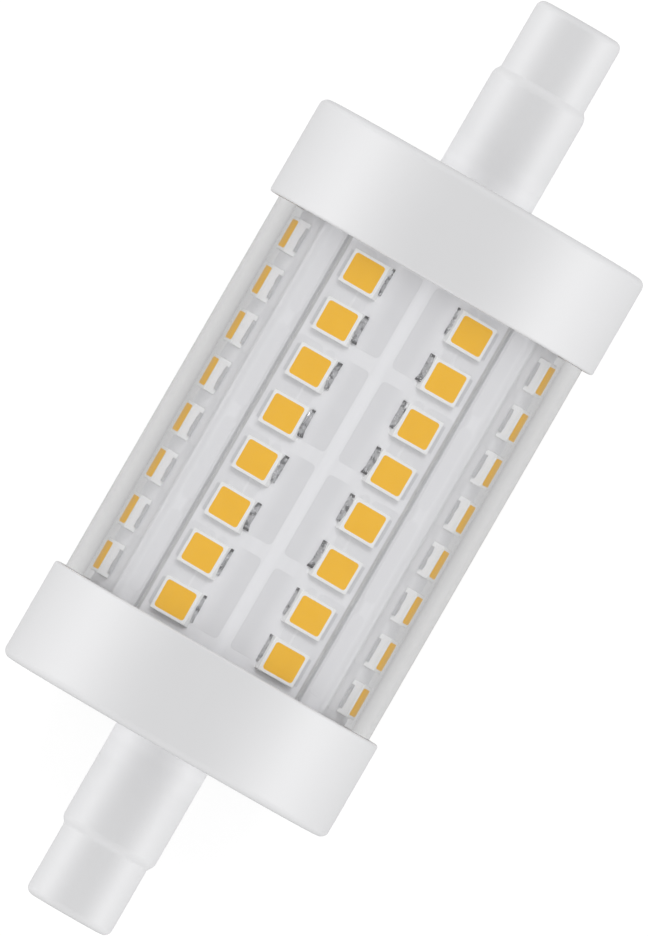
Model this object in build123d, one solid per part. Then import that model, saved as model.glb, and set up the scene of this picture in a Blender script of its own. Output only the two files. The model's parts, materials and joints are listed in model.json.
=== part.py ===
from build123d import *
import os
from math import cos, radians, sin, sqrt

# Double-ended linear LED lamp, in millimetres. The lamp's axis lies along X, the origin is at its
# middle, and the ridge between the two upper LED columns looks along +Z.

# Overall lamp
overall_length = 78.0

# End caps
skirt_length = 8.2
skirt_wall = 0.75
skirt_end_chamfer = 0.35
end_wall = 1.2
neck_length = 8.25
neck_wall = 1.15
shoulder_length = 0.45
shoulder_step = 0.35
tip_length = 5.95
tip_diameter = 7.25
tip_end_chamfer = 0.35
recess_diameter = 4.6
pocket_step = 0.5
tip_floor = 1.5
spigot_length = 3.0
spigot_wall = 1.0
spigot_clearance = 0.1

# End contacts, 74.9 mm apart
contact_depth = 1.55
contact_set_back = 0.1
contact_head = 0.5
contact_clearance = 0.1
contact_edge_chamfer = 0.15
shank_diameter = 1.8
shank_clearance = 0.1
collar_diameter = 3.0
collar_thickness = 0.4

# Clear tube
tube_diameter = 26.5
tube_wall = 1.5
tube_clearance = 0.1

# LED boards and their former
upper_face_angle = 23.25
side_face_angle = 70.75
led_tube_gap = 0.25
board_gap = 2.15
board_thickness = 0.5
bend_round = 1.25
seam_offset = 2.455
seam_gap = 0.47
former_wall = 1.0
former_bend_round = 1.0
link_length = 1.0
link_width = 2.0
link_thickness = 0.15
link_margin = 0.3

# LEDs
led_rows = 8
upper_led_margin = 1.8
side_led_margin = 2.0
led_length = 2.8
led_width = 3.1
led_height = 0.72
led_rim = 0.25
led_pocket = 0.5
phosphor_recess = 0.05
solder_length = 2.3
solder_reach = 0.4
solder_height = 0.15

# Driver board
driver_level = -4.5
driver_thickness = 1.0
driver_side_gap = 0.35
driver_end_gap = 0.3
driver_slot_clearance = 0.2

# Parts on the driver board
fuse_length = 10.1
fuse_thickness = 3.1
fuse_cap_length = 2.0
fuse_cap_step = 0.1
rectifier_offset = 4.4
rectifier_size = (4.7, 3.9, 1.6)
chip_offset = -4.0
chip_size = (4.9, 3.9, 1.5)
leg_size = (0.42, 0.9, 0.25)
capacitor_offset = 3.6
capacitor_diameter = 6.3
capacitor_height = 7.7
capacitor_edge_chamfer = 0.3
capacitor_groove = 0.3
capacitor_groove_height = 2.2
capacitor_base_width = 6.6
capacitor_base_corner = 1.2
capacitor_base_height = 0.9
choke_diameter = 6.4
choke_height = 7.0
choke_flange = 1.0
choke_core_diameter = 3.0
choke_winding_gap = 0.3
resistor_offset = 5.4
resistor_size = (3.2, 1.6, 0.6)

# Leads
lead_sides = 8
supply_lead_diameter = 1.3
supply_lead_inset = 1.65
supply_lead_slope = 3.9
supply_lead_foot = 2.7
led_lead_diameter = 0.8
led_lead_reach = 2.6
led_lead_row = 5.2
led_lead_landing = 0.7
led_lead_clearance = 0.15

# Places along the lamp, from its middle to the end
lamp_end = overall_length / 2
tip_base = lamp_end - tip_length
neck_end = tip_base - shoulder_length
wall_outside = neck_end - neck_length
wall_inside = wall_outside - end_wall
skirt_rim = wall_outside - skirt_length
spigot_end = wall_inside - spigot_length
contact_face = lamp_end - contact_depth
recess_floor = contact_face + contact_set_back
pocket_floor = contact_face - contact_head
floor_inside = pocket_floor - tip_floor
contact_tail = floor_inside - collar_thickness
board_end = spigot_end - board_gap
board_length = 2 * board_end
upper_led_pitch = (board_length - 2 * upper_led_margin) / led_rows
side_led_pitch = (board_length - 2 * side_led_margin) / led_rows
led_lead_crossing = (board_end + spigot_end) / 2
lead_drop_start = wall_inside - supply_lead_inset
lead_drop_end = lead_drop_start - supply_lead_slope
lead_landing = lead_drop_end - supply_lead_foot

# Radii and distances from the lamp's axis
tip_radius = tip_diameter / 2
neck_radius = tip_radius + shoulder_step
tube_radius = tube_diameter / 2
tube_bore = tube_radius - tube_wall
skirt_bore = tube_radius + tube_clearance
cap_radius = skirt_bore + skirt_wall
led_top = sqrt((tube_bore - led_tube_gap) ** 2 - (led_width / 2) ** 2)
board_top = led_top - led_height
former_top = board_top - board_thickness
former_bore = former_top - former_wall
spigot_radius = former_bore - spigot_clearance
driver_top = driver_level + driver_thickness

# The eight flat faces by the angle of their normal, from +Z towards +Y
face_angles = {
    "upper_rear": upper_face_angle,
    "rear_upper": side_face_angle,
    "rear_lower": 180 - side_face_angle,
    "lower_rear": 180 - upper_face_angle,
    "lower_front": 180 + upper_face_angle,
    "front_lower": 180 + side_face_angle,
    "front_upper": 360 - side_face_angle,
    "upper_front": 360 - upper_face_angle,
}
# Side of each upper and lower face, along the face, on which its seam lies
seam_sides = {"upper_rear": 1, "lower_rear": -1, "lower_front": 1, "upper_front": -1}


def outline(corners):
    """Closed outline through (x, y, chamfer) corners, each with its own chamfer or none."""
    flat = make_face(Polyline(*[(x, y) for x, y, _ in corners], close=True))
    for x, y, length in corners:
        if length > 0:
            flat = chamfer(flat.vertices().sort_by_distance((x, y, 0))[0], length)
    return flat


def turned(corners):
    """Solid of revolution about the lamp's axis, from (along, out, chamfer) corners."""
    return revolve(outline(corners), Axis.X)


def both_ends(right):
    """The piece at the right end and its mirror image at the left end."""
    return right, mirror(right, about=Plane.YZ)


def face_plane(name, height):
    """Plane on a face: local X along the lamp, local Y along the face, local Z outwards."""
    angle = radians(face_angles[name])
    normal = Vector(0, sin(angle), cos(angle))
    return Plane(normal * height, x_dir=(1, 0, 0), z_dir=normal)


def octagon(apothem, bend=0):
    """Eight-sided section with its flats at one distance from the axis and rounded or sharp bends."""
    angles = list(face_angles.values())
    corners = []
    for angle, following in zip(angles, angles[1:] + [angles[0] + 360]):
        middle = radians((angle + following) / 2)
        reach = apothem / cos(radians((following - angle) / 2))
        corners.append((reach * sin(middle), reach * cos(middle)))
    flat = make_face(Polyline(*corners, close=True))
    if bend > 0:
        flat = fillet(flat.vertices(), bend)
    return Plane.YZ * flat


def eight_sided_tube(top, top_bend, wall, bore_bend, half_length):
    """Eight-sided tube, centred on the lamp's middle."""
    section = octagon(top, top_bend) - octagon(top - wall, bore_bend)
    return extrude(section, half_length, both=True)


def standing_box(x, y, bottom, size):
    """Box that stands on a level, centred over a place."""
    return Pos(x, y, bottom) * Box(*size, align=(Align.CENTER, Align.CENTER, Align.MIN))


def lead_wire(points, diameter):
    """Insulated wire along straight runs with mitred corners, its round drawn with few sides."""
    path = Polyline(*points)
    start = Plane(path @ 0, z_dir=path % 0)
    return sweep(start * RegularPolygon(diameter / 2, lead_sides), path, transition=Transition.RIGHT)


def end_cap():
    """Right end cap: skirt, spigot, end wall, hollow neck and recessed tip in one."""
    recess = recess_diameter / 2
    pocket = recess - pocket_step
    shank_hole = shank_diameter / 2 + shank_clearance
    neck_bore = neck_radius - neck_wall
    body = turned([
        (skirt_rim, skirt_bore, 0),
        (skirt_rim, cap_radius, 0),
        (wall_outside, cap_radius, skirt_end_chamfer),
        (wall_outside, neck_radius, 0),
        (neck_end, neck_radius, 0),
        (tip_base, tip_radius, 0),
        (lamp_end, tip_radius, tip_end_chamfer),
        (lamp_end, recess, 0),
        (recess_floor, recess, 0),
        (recess_floor, pocket, 0),
        (pocket_floor, pocket, 0),
        (pocket_floor, shank_hole, 0),
        (floor_inside, shank_hole, 0),
        (floor_inside, neck_bore, 0),
        (wall_inside, neck_bore, 0),
        (wall_inside, spigot_radius - spigot_wall, 0),
        (spigot_end, spigot_radius - spigot_wall, 0),
        (spigot_end, spigot_radius, 0),
        (wall_inside, spigot_radius, 0),
        (wall_inside, skirt_bore, 0),
    ])
    slot_size = (spigot_length, 2 * spigot_radius, driver_thickness + driver_slot_clearance)
    return body - standing_box((spigot_end + wall_inside) / 2, 0, driver_level, slot_size)


def end_contact():
    """Right contact: a button in its pocket below the recess, its shank and the collar that holds it."""
    head = recess_diameter / 2 - pocket_step - contact_clearance
    shank = shank_diameter / 2
    collar = collar_diameter / 2
    return turned([
        (contact_tail, 0, 0),
        (contact_tail, collar, 0),
        (floor_inside, collar, 0),
        (floor_inside, shank, 0),
        (pocket_floor, shank, 0),
        (pocket_floor, head, 0),
        (contact_face, head, contact_edge_chamfer),
        (contact_face, 0, 0),
    ])


def clear_tube():
    """Clear tube whose ends meet the end walls inside the skirts."""
    wall = Circle(tube_radius) - Circle(tube_bore)
    return extrude(Plane.YZ * wall, wall_inside, both=True)


def led_former():
    """Eight-sided former between the end walls, with a hole on each side for an LED lead."""
    former = eight_sided_tube(former_top, former_bend_round, former_wall, 0, wall_inside)
    hole = Cylinder(led_lead_diameter / 2 + led_lead_clearance, 2 * tube_radius)
    return former - Pos(led_lead_crossing, 0, led_lead_level()) * Rot(X=90) * hole


def led_boards():
    """Folded boards round the former, parted by a seam on each upper and lower face."""
    ring = eight_sided_tube(board_top, bend_round, board_thickness, bend_round - board_thickness, board_end)
    for name, side in seam_sides.items():
        cut = Pos(0, side * (seam_offset + seam_gap / 2), 0) * Box(board_length, seam_gap, 2 * former_wall)
        ring -= face_plane(name, former_top + board_thickness / 2).location * cut
    pieces = ring.solids()
    heights = pieces.sort_by(Axis.Z)
    depths = pieces.sort_by(Axis.Y)
    return {
        "upper_led_board": heights[-1],
        "lower_led_board": heights[0],
        "rear_led_board": depths[-1],
        "front_led_board": depths[0],
    }


def board_links():
    """Metal links that bridge the four seams near the left end."""
    place = -(board_end - link_margin - link_length / 2)
    link = standing_box(0, 0, 0, (link_length, link_width, link_thickness))
    links = []
    for name, side in seam_sides.items():
        seat = Pos(place, side * (seam_offset + seam_gap / 2), 0)
        links.append(face_plane(name, board_top).location * seat * link)
    return Compound(children=links)


def led_window():
    """Outline of the opening in an LED's housing."""
    return Rectangle(led_length - 2 * led_rim, led_width - 2 * led_rim)


def led_housing():
    """Moulded LED housing with a pocket for the phosphor."""
    block = standing_box(0, 0, 0, (led_length, led_width, led_height))
    return block - Pos(0, 0, led_height - led_pocket) * extrude(led_window(), led_pocket)


def led_phosphor():
    """Phosphor filling, a little lower than the housing's rim."""
    return Pos(0, 0, led_height - led_pocket) * extrude(led_window(), led_pocket - phosphor_recess)


def led_solder():
    """Solder fillets along the two sides of an LED."""
    slope = make_face(Polyline((0, 0), (solder_reach, 0), (0, solder_height), close=True))
    fillet_bar = extrude(Plane.YZ * slope, solder_length / 2, both=True)
    right = Pos(0, led_width / 2, 0) * fillet_bar
    return [right, mirror(right, about=Plane.XZ)]


def led_columns():
    """Housings, phosphors and solder joints of the eight LED columns."""
    nodes = {}
    kinds = {"housings": [led_housing()], "phosphors": [led_phosphor()], "solder_joints": led_solder()}
    for name in face_angles:
        pitch = upper_led_pitch if name in seam_sides else side_led_pitch
        face = face_plane(name, board_top).location
        for kind, solids in kinds.items():
            column = []
            for row in range(led_rows):
                seat = face * Pos((row - (led_rows - 1) / 2) * pitch, 0, 0)
                column += [seat * solid for solid in solids]
            nodes[f"{name}_led_{kind}"] = Compound(children=column)
    return nodes


def driver_row():
    """Places along the board of the fuse, the packages, the capacitors and the choke, evenly spaced."""
    lengths = {
        "fuse": fuse_thickness,
        "packages": max(rectifier_size[0], chip_size[0]),
        "capacitors": capacitor_base_width,
        "choke": choke_diameter,
    }
    gap = (2 * lead_landing - sum(lengths.values())) / (len(lengths) + 1)
    places = {}
    edge = -lead_landing
    for name, length in lengths.items():
        places[name] = edge + gap + length / 2
        edge += gap + length
    return places


def driver_board():
    """Driver board, held at both ends in the slots of the caps' spigots."""
    half_width = (former_bore + driver_level * cos(radians(side_face_angle))) / sin(radians(side_face_angle))
    size = (2 * (wall_inside - driver_end_gap), 2 * (half_width - driver_side_gap), driver_thickness)
    return standing_box(0, 0, driver_level, size)


def input_fuse():
    """Block fuse that lies across the board, with a metal cap at each end."""
    place = driver_row()["fuse"]
    core = fuse_thickness - 2 * fuse_cap_step
    core_length = fuse_length - 2 * fuse_cap_length
    cap_size = (fuse_thickness, fuse_cap_length, fuse_thickness)
    solids = [standing_box(place, 0, driver_top + fuse_cap_step, (core, core_length, core))]
    for side in (1, -1):
        solids.append(standing_box(place, side * (core_length + fuse_cap_length) / 2, driver_top, cap_size))
    return Compound(children=solids)


def flat_package(offset, size, leg_count):
    """Moulded package on the board with flat legs along two sides."""
    length, width, height = size
    place = driver_row()["packages"]
    solids = [standing_box(place, offset, driver_top, size)]
    pitch = length / leg_count
    for side in (1, -1):
        for leg in range(leg_count):
            x = place + (leg - (leg_count - 1) / 2) * pitch
            y = offset + side * (width + leg_size[1]) / 2
            solids.append(standing_box(x, y, driver_top, leg_size))
    return Compound(children=solids)


def capacitor(side):
    """Electrolytic can with a rolled groove, on a square base with two cut corners."""
    radius = capacitor_diameter / 2
    can = turned([
        (capacitor_base_height, 0, 0),
        (capacitor_base_height, radius, 0),
        (capacitor_groove_height - capacitor_groove, radius, 0),
        (capacitor_groove_height, radius - capacitor_groove, 0),
        (capacitor_groove_height + capacitor_groove, radius, 0),
        (capacitor_height, radius, capacitor_edge_chamfer),
        (capacitor_height, 0, 0),
    ])
    foot = Rectangle(capacitor_base_width, capacitor_base_width)
    foot = chamfer(foot.vertices().group_by(Axis.X)[-1], capacitor_base_corner)
    seat = Pos(driver_row()["capacitors"], side * capacitor_offset, driver_top)
    return Compound(children=[seat * Rot(Y=-90) * can, seat * extrude(foot, capacitor_base_height)])


def choke():
    """Drum core that stands on the board, and the winding between its flanges."""
    flange = choke_diameter / 2
    core = choke_core_diameter / 2
    top = choke_height - choke_flange
    drum = Cylinder(flange, choke_height, align=(Align.CENTER, Align.CENTER, Align.MIN))
    waist = Circle(flange) - Circle(core)
    drum -= Pos(0, 0, choke_flange) * extrude(waist, top - choke_flange)
    turns = Circle(flange - choke_winding_gap) - Circle(core)
    winding = Pos(0, 0, choke_flange) * extrude(turns, top - choke_flange)
    seat = Pos(driver_row()["choke"], 0, driver_top)
    return seat * drum, seat * winding


def current_resistors():
    """Two chip resistors, one on each side of the choke."""
    place = driver_row()["choke"]
    return Compound(
        children=[standing_box(place, side * resistor_offset, driver_top, resistor_size) for side in (1, -1)]
    )


def supply_lead():
    """Right supply lead, from the contact's collar through the neck down to the driver board."""
    level = driver_top + supply_lead_diameter / 2
    points = [
        (contact_tail, 0, 0),
        (lead_drop_start, 0, 0),
        (lead_drop_end, 0, level),
        (lead_landing, 0, level),
    ]
    return lead_wire(points, supply_lead_diameter)


def led_lead_level():
    """Height of the LED leads' axis, resting on the driver board."""
    return driver_top + led_lead_diameter / 2


def led_lead():
    """Rear LED lead, from the driver board through the former to the end of the rear board."""
    level = led_lead_level()
    angle = radians(face_angles["rear_lower"])
    outside = (board_top + led_lead_diameter / 2 - level * cos(angle)) / sin(angle)
    points = [
        (board_end - led_lead_reach, led_lead_row, level),
        (led_lead_crossing, led_lead_row, level),
        (led_lead_crossing, outside, level),
        (board_end - led_lead_landing, outside, level),
    ]
    return lead_wire(points, led_lead_diameter)


def lamp():
    """Every piece of the lamp by name."""
    pieces = {}
    for kind, right in (("end_cap", end_cap()), ("contact", end_contact()), ("supply_lead", supply_lead())):
        pieces[f"right_{kind}"], pieces[f"left_{kind}"] = both_ends(right)
    pieces["clear_tube"] = clear_tube()
    pieces["led_former"] = led_former()
    pieces.update(led_boards())
    pieces["board_links"] = board_links()
    pieces.update(led_columns())
    pieces["driver_board"] = driver_board()
    pieces["input_fuse"] = input_fuse()
    pieces["bridge_rectifier"] = flat_package(rectifier_offset, rectifier_size, 2)
    pieces["driver_chip"] = flat_package(chip_offset, chip_size, 4)
    pieces["input_capacitor"] = capacitor(1)
    pieces["output_capacitor"] = capacitor(-1)
    pieces["choke_core"], pieces["choke_winding"] = choke()
    pieces["current_resistors"] = current_resistors()
    pieces["rear_led_lead"] = led_lead()
    pieces["front_led_lead"] = mirror(pieces["rear_led_lead"], about=Plane.XZ)
    return pieces


os.makedirs("parts", exist_ok=True)
for node, piece in lamp().items():
    export_step(piece, f"parts/{node}.step")
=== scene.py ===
import json
from math import cos, hypot, pi, radians, tan
from random import Random

import bmesh
import bpy
from bpy.props import FloatProperty, FloatVectorProperty, IntProperty, PointerProperty
from mathutils import Matrix, Vector


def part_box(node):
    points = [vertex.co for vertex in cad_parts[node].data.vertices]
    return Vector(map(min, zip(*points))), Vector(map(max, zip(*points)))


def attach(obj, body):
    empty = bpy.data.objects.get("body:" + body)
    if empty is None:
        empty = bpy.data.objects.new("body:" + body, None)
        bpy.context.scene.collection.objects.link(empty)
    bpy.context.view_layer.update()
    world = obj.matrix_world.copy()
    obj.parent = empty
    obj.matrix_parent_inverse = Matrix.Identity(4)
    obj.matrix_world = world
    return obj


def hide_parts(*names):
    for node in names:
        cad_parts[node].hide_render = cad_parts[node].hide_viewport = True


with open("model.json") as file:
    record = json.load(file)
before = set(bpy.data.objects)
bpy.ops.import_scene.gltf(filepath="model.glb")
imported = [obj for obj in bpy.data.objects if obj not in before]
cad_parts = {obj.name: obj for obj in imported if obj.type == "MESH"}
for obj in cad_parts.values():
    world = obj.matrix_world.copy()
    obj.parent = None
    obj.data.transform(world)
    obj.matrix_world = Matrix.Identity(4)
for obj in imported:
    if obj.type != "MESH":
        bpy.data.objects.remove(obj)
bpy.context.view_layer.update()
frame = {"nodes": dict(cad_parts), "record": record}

bl_info = {
    "name": "Linear LED Bulb",
    "version": (1, 0, 0),
    "blender": (4, 5, 0),
    "location": "3D View > Sidebar > LED Bulb",
    "description": "Dresses the CAD frame of a double-ended LED bulb and sets a studio round it",
    "category": "Add Mesh",
}

MM = 0.001
# Points closer than WELD are one point; an edge within TOUCH of a place is the edge there
WELD = 1e-7
TOUCH = 2e-6

# Places and radii that the frame gives
cap_low, cap_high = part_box("right_end_cap")
tube_low, tube_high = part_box("clear_tube")
board_low, board_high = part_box("upper_led_board")
_, contact_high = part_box("right_contact")
driver_low, driver_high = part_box("driver_board")
mount_sizes = {mount["name"]: mount["dims"] for mount in frame["record"]["mounts"]}
lamp_end = cap_high.x
skirt_rim = cap_low.x
cap_radius = cap_high.z
tip_radius = mount_sizes["right_tip"]["r_mm"] * MM
recess_radius = mount_sizes["right_contact_recess"]["r_mm"] * MM
recess_floor = lamp_end - mount_sizes["right_contact_recess"]["length_mm"] * MM

# Pieces that have lamps of their own
CAPS = ("left_cap_moulding", "right_cap_moulding")
SIDES = (
    "rear_board_sheet",
    "front_board_sheet",
    *(f"{face}_{kind}" for face in ("rear_upper", "rear_lower", "front_upper", "front_lower")
      for kind in ("copper_lands", "housings", "phosphors", "solder_joints")),
)

# Copper lands across a face, from and to millimetres from its middle, counted towards the ridge on a face
# with a seam and towards the seam on a side face
SEAM_FACE_LANDS = ((4.02, 1.62), (1.02, 0.1), (-0.1, -2.45), (-3.12, -4.1))
SIDE_FACE_LANDS = ((4.1, 0.1), (-0.1, -3.1))

# Tone of the painted shade on the boards' mask beside the seams and over the folds, as a share of its white
PAINTED_SHADE_TONE = 0.78

# Seed of the LEDs' strays and of the solder's lumps
SEED = 7


def length(name, description, millimetres):
    """Length property, given in millimetres."""
    size = millimetres * MM
    return FloatProperty(name=name, description=description, default=size, min=0, unit="LENGTH", precision=5)


def turn(name, description, degrees):
    """Angle property, given in degrees."""
    return FloatProperty(name=name, description=description, default=radians(degrees), subtype="ANGLE")


def amount(name, description, value):
    """Plain number property."""
    return FloatProperty(name=name, description=description, default=value, min=0)


def count(name, description, value):
    """Whole number property."""
    return IntProperty(name=name, description=description, default=value, min=1)


def colour(name, description, *tint):
    """Colour property, in linear light."""
    return FloatVectorProperty(
        name=name, description=description, default=tint, size=3, min=0, max=1, subtype="COLOR"
    )


class EndCapSizes(bpy.types.PropertyGroup):
    """Sizes of the two moulded end caps and of the contacts in their tips."""

    skirt_length: length("Skirt length", "From the rim to the end wall's outside", 8.2)
    skirt_wall: length("Skirt wall", "Thickness of the skirt", 0.75)
    skirt_end_round: length("Skirt end round", "Round between the skirt and the end wall", 0.65)
    skirt_rim_round: length("Skirt rim round", "Round on the skirt's open rim", 0.22)
    end_wall: length("End wall", "Thickness of the end wall", 1.2)
    neck_length: length("Neck length", "From the end wall to the shoulder", 8.25)
    neck_step: length("Neck step", "Step from the tip up to the neck", 0.35)
    neck_wall: length("Neck wall", "Thickness of the hollow neck", 1.15)
    neck_root_round: length("Neck root round", "Hollow round at the neck's foot", 0.1)
    shoulder_length: length("Shoulder length", "Slope between the neck and the tip", 0.45)
    shoulder_round: length("Shoulder round", "Round at the neck's end", 0.28)
    shoulder_foot_round: length("Shoulder foot round", "Hollow round at the tip's foot", 0.12)
    tip_round: length("Tip round", "Round on the tip's end", 0.62)
    recess_round: length("Recess round", "Round on the mouth of the recess", 0.15)
    pocket_step: length("Pocket step", "Ledge round the contact's pocket", 0.5)
    tip_floor: length("Tip floor", "Thickness of the contact's floor", 1.5)
    spigot_length: length("Spigot length", "Reach of the former's ring", 3.0)
    spigot_radius: length("Spigot radius", "Outside radius of the former's ring", 9.075)
    spigot_wall: length("Spigot wall", "Thickness of the former's ring", 1.0)
    slot_clearance: length("Slot clearance", "Room above the driver board", 0.2)
    shank_radius: length("Shank radius", "Radius of the contact's shank", 0.9)
    shank_clearance: length("Shank clearance", "Room round the contact's shank", 0.1)
    contact_head: length("Contact head", "Thickness of the contact's button", 0.5)
    collar_thickness: length("Collar thickness", "Thickness of the contact's collar", 0.4)
    collar_radius: length("Collar radius", "Radius of the contact's collar", 1.5)
    contact_round: length("Contact round", "Round on the button's edge", 0.175)
    contact_dimple: length("Contact dimple", "Radius of the button's worn spot", 0.8)
    contact_wear: length("Contact wear", "Depth of the worn spot", 0.04)
    dimple_floor: length("Dimple floor", "Radius of the worn spot's floor", 0.48)
    collar_round: length("Collar round", "Round on the collar's edge", 0.12)
    steps: count("Steps", "Divisions of one turn", 144)


class TubeSizes(bpy.types.PropertyGroup):
    """Sizes of the clear tube."""

    wall: length("Wall", "Thickness of the tube", 1.5)
    end_round: length("End round", "Round on the tube's cut ends", 0.12)
    steps: count("Steps", "Divisions of one turn", 192)


class BoardSizes(bpy.types.PropertyGroup):
    """Sizes of the folded LED boards and of the copper lands under their white mask."""

    upper_angle: turn("Upper angle", "Turn of the upper and lower faces", 23.25)
    side_angle: turn("Side angle", "Turn of the side faces", 70.75)
    top: length("Face distance", "From the lamp's axis to the boards' outside", 10.675)
    thickness: length("Thickness", "Thickness of the boards", 0.5)
    bend: length("Bend", "Outside radius of the folds", 1.25)
    seam_offset: length("Seam offset", "From the middle of an upper face to its seam", 2.455)
    seam_gap: length("Seam gap", "Width of the seams", 0.47)
    seam_edge_round: length("Seam edge round", "Wear on a side board's cut edge", 0.14)
    land_height: length("Land height", "Lift of the mask over copper", 0.02)
    land_edge_round: length("Land edge round", "Round on the lands' upper edges", 0.012)
    land_gap: length("Land gap", "Gap between upper or lower lands", 1.15)
    side_land_gap: length("Side land gap", "Gap between side lands", 0.95)
    land_shift: length("Land shift", "Shift of upper and lower lands to the right", 0.42)
    land_round: length("Land round", "Round on the lands' corners", 0.36)


class LedSizes(bpy.types.PropertyGroup):
    """Sizes of the LEDs and of their solder joints."""

    rows: count("Rows", "LEDs in a column", 8)
    upper_pitch: length("Upper pitch", "LED step on the upper and lower faces", 4.05)
    side_pitch: length("Side pitch", "LED step on the side faces", 4.0)
    length: length("Length", "LED size along the lamp", 2.8)
    width: length("Width", "LED size across the lamp", 3.1)
    height: length("Height", "LED height over the board", 0.72)
    rim: length("Rim", "Width of the housing's white rim", 0.25)
    edge_round: length("Edge round", "Round on the housing's edges", 0.07)
    window_round: length("Window round", "Round on the window's corners", 0.22)
    pocket: length("Pocket", "Depth of the window", 0.5)
    solder_length: length("Solder length", "Solder joint along the lamp", 2.3)
    solder_reach: length("Solder reach", "Reach of a full joint", 0.27)
    solder_slim: length("Slim solder reach", "Reach of a starved joint", 0.18)
    # The outer joints are wide and low, so that they also stand for the soft shadow beside the LEDs' outer edges:
    # painted shadow
    solder_outer: length("Outer solder reach", "Reach of a joint on the outer side", 0.56)
    solder_thin: length("Outer solder height", "Height of a joint on the outer side", 0.08)
    solder_height: length("Solder height", "Height of a full joint", 0.56)
    solder_low: length("Slim solder height", "Height of a starved joint", 0.32)
    solder_short: length("Side solder length", "Length of a joint on the side faces", 2.0)
    solder_shift: length("Solder shift", "Shift of the inner joints to the right", 0.25)
    solder_side: length("Side solder height", "Height of a joint on the side faces", 0.24)
    solder_fall: amount("Solder fall", "Share of height lost at a joint's outer edge", 0.75)
    solder_taper: amount("Solder taper", "Share of height lost at an inner joint's ends", 0.5)
    solder_blunt: amount("Solder blunt", "Share of height lost at other joints' ends", 0.1)
    solder_lumps: amount("Solder lumps", "Stray share of a joint's height", 0.14)
    solder_notch: amount("Solder notch", "Stray share of a joint's edge inwards", 0.08)
    solder_spread: amount("Solder spread", "Stray share of a joint's edge outwards", 0.02)
    solder_tip: amount("Solder tip", "Share of half a joint where its dark end begins", 0.9)
    solder_foot: amount("Solder foot", "Times a joint's foot reaches further", 1.5)
    stray: length("Stray", "Stray of an LED from its place", 0.035)
    stray_turn: turn("Stray turn", "Stray turn of an LED", 0.6)


class LampColours(bpy.types.PropertyGroup):
    """Colours of the lamp's finishes."""

    cap: colour("Caps", "White moulding of the end caps", 0.712, 0.712, 0.721)
    mask: colour("Board mask", "White mask of the LED boards", 0.84, 0.84, 0.85)
    land: colour("Copper lands", "White mask over copper", 0.75, 0.75, 0.76)
    housing: colour("LED housing", "White moulding of the LEDs", 0.90, 0.90, 0.89)
    phosphor: colour("Phosphor", "Yellow filling of the LEDs", 0.98, 0.53, 0.028)
    solder: colour("Solder", "Tinned joints", 0.53, 0.53, 0.54)
    side_solder: colour("Side solder", "Tinned joints on the side faces", 0.60, 0.60, 0.61)
    contact: colour("Contacts", "Plated contacts", 0.74, 0.72, 0.68)
    tube: colour("Tube", "Tint of the clear tube", 0.985, 0.985, 0.99)


class StageSettings(bpy.types.PropertyGroup):
    """Camera, light and floor."""

    picture_height: length("Picture height", "Height of the view at the lamp's axis", 70.84)
    lens: amount("Lens", "Focal length of the camera in millimetres", 1000.0)
    sensor: amount("Sensor", "Long side of the sensor in millimetres", 36.0)
    lean: turn("Lean", "Lean of the lamp in the picture", 30.0)
    sky: amount("Sky", "Strength of the sky's even light", 0.75)
    key_power: amount("Key lamp", "Power of the overhead lamp in watts", 11.5)
    key_distance: length("Key distance", "Distance of the overhead lamp", 2000.0)
    key_size: length("Key size", "Width of the overhead lamp", 700.0)
    key_tilt: turn("Key tilt", "Lean of the overhead lamp to the right", 28.0)
    gloss_sky: amount("Gloss sky", "Strength of the sky in gloss", 0.25)
    through_sky: amount("Sky through the tube", "Strength of the sky through the tube", 0.55)
    side_power: amount("Side lamps", "Power of each side lamp in watts", 12.3)
    side_distance: length("Side distance", "Distance of the side lamps", 1500.0)
    side_length: length("Side length", "Length of the side lamps", 600.0)
    side_height: length("Side height", "Height of the side lamps", 450.0)
    side_lift: length("Side lift", "Rise to the side lamps' middle", 330.0)
    glow_power: amount("Floor glow", "Power of each floor glow in watts", 6.5)
    glow_drop: length("Glow drop", "Drop to the floor glow's middle", 600.0)
    end_power: amount("End lamps", "Power of each lamp at an end in watts", 4.3)
    end_height: length("End height", "Height of the end lamps", 160.0)
    end_lift: length("End lift", "Rise to the end lamps' middle", 80.0)
    floor_size: length("Floor size", "Half the width of the floor", 4000.0)
    floor_share: amount("Floor share", "Share of the floor's white that takes no shadow", 0.86)
    floor_through: amount("Floor through the tube", "That share as seen through the tube", 0.80)
    floor_mirrored: amount("Floor in gloss", "That share as mirrored in gloss", 0.80)
    floor_shade: amount("Floor shade", "Reflectance of the floor", 0.22)


GROUPS = {
    "led_bulb_caps": EndCapSizes,
    "led_bulb_tube": TubeSizes,
    "led_bulb_boards": BoardSizes,
    "led_bulb_leds": LedSizes,
    "led_bulb_colours": LampColours,
    "led_bulb_stage": StageSettings,
}


class Signal:
    """A shader socket that takes part in Python expressions."""

    def __init__(self, graph, socket):
        self.graph = graph
        self.socket = socket

    def __add__(self, other):
        return self.graph.maths("ADD", self, other)

    def __sub__(self, other):
        return self.graph.maths("SUBTRACT", self, other)

    def __rsub__(self, other):
        return self.graph.maths("SUBTRACT", other, self)

    def __mul__(self, other):
        return self.graph.maths("MULTIPLY", self, other)

    __radd__ = __add__
    __rmul__ = __mul__


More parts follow.
